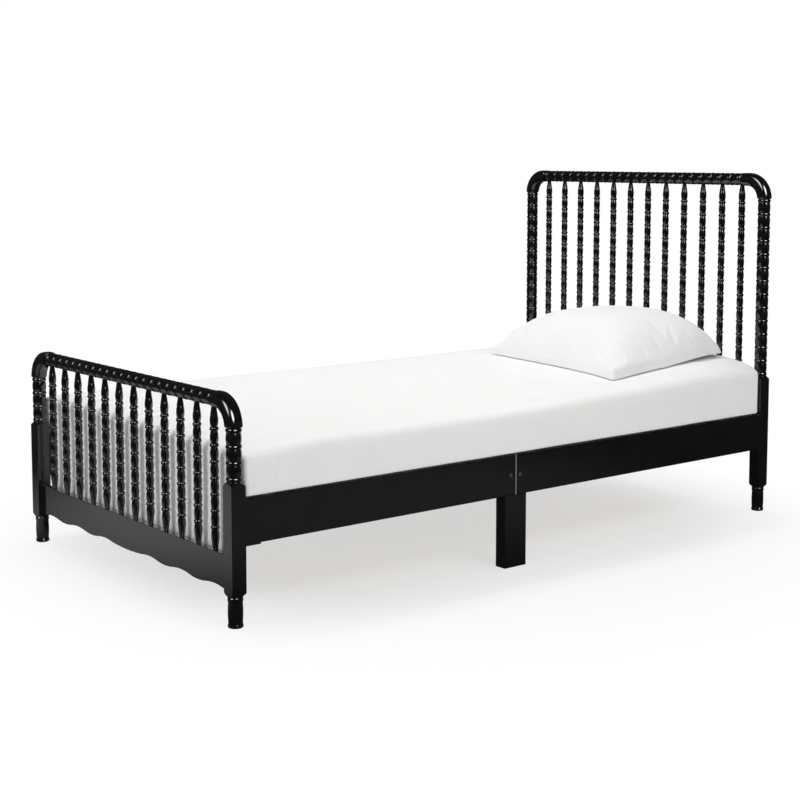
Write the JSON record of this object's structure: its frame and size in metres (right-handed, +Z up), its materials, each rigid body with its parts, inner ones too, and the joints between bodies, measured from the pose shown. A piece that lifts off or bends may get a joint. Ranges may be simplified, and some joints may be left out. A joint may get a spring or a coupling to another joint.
{
  "type": "spool bed",
  "caption": "Single bed of turned spools: spindle headboard, low footboard with scalloped apron, jointed side rails, support legs and slats, with mattress, sheet and pillow.",
  "frame": {"origin": "on the floor, under the middle of the bed's plan", "axes": "+X across the bed, +Y along the bed towards the headboard, +Z up"},
  "size_m": [1.085, 1.986, 1.0635],
  "materials": {
    "black_lacquer": "black satin-gloss lacquer",
    "bare_pine": "planed, bare",
    "black_steel": "black powder coat",
    "zinc": "zinc plated",
    "ticking": "white ticking",
    "sheet": "smooth white cotton",
    "pillow_case": "smooth white cotton"
  },
  "bodies": {
    "frame": {"head_top_rail": "black_lacquer", "head_post_right": "black_lacquer", "head_post_left": "black_lacquer", "head_elbow_right": "black_lacquer", "head_elbow_left": "black_lacquer", "side_rail_right_head": "black_lacquer", "side_rail_left_head": "black_lacquer", "head_spindle_01": "black_lacquer", "head_spindle_02": "black_lacquer", "head_spindle_03": "black_lacquer", "head_spindle_04": "black_lacquer", "head_spindle_05": "black_lacquer", "head_spindle_06": "black_lacquer", "head_spindle_07": "black_lacquer", "head_spindle_08": "black_lacquer", "head_spindle_09": "black_lacquer", "head_spindle_10": "black_lacquer", "head_spindle_11": "black_lacquer", "head_spindle_12": "black_lacquer", "foot_top_rail": "black_lacquer", "foot_post_right": "black_lacquer", "foot_post_left": "black_lacquer", "foot_elbow_right": "black_lacquer", "foot_elbow_left": "black_lacquer", "side_rail_right_foot": "black_lacquer", "side_rail_left_foot": "black_lacquer", "foot_spindle_01": "black_lacquer", "foot_spindle_02": "black_lacquer", "foot_spindle_03": "black_lacquer", "foot_spindle_04": "black_lacquer", "foot_spindle_05": "black_lacquer", "foot_spindle_06": "black_lacquer", "foot_spindle_07": "black_lacquer", "foot_spindle_08": "black_lacquer", "foot_spindle_09": "black_lacquer", "foot_spindle_10": "black_lacquer", "foot_spindle_11": "black_lacquer", "foot_spindle_12": "black_lacquer", "head_bottom_rail": "black_lacquer", "foot_apron": "black_lacquer", "support_leg_right": "black_lacquer", "support_leg_left": "black_lacquer", "ledger_right_head": "bare_pine", "ledger_right_foot": "bare_pine", "ledger_left_head": "bare_pine", "ledger_left_foot": "bare_pine", "slats": "bare_pine", "head_bracket_right": "black_steel", "foot_bracket_right": "black_steel", "head_bracket_left": "black_steel", "foot_bracket_left": "black_steel", "slat_screws": "zinc", "ledger_screws": "zinc", "bracket_bolts": "zinc", "bracket_screws": "zinc", "leg_nuts": "zinc", "splice_bolts": "black_steel"},
    "mattress": {"mattress": "ticking", "fitted_sheet": "sheet"},
    "pillow": {"pillow": "pillow_case"}
  },
  "joints": [
    {"name": "mattress_lift", "type": "slide", "parent": "frame", "child": "mattress", "axis": [0, 0, 1], "range_m": [0, 0.4]},
    {"name": "pillow_lift", "type": "slide", "parent": "mattress", "child": "pillow", "axis": [0, 0, 1], "range_m": [0, 0.3]}
  ]
}
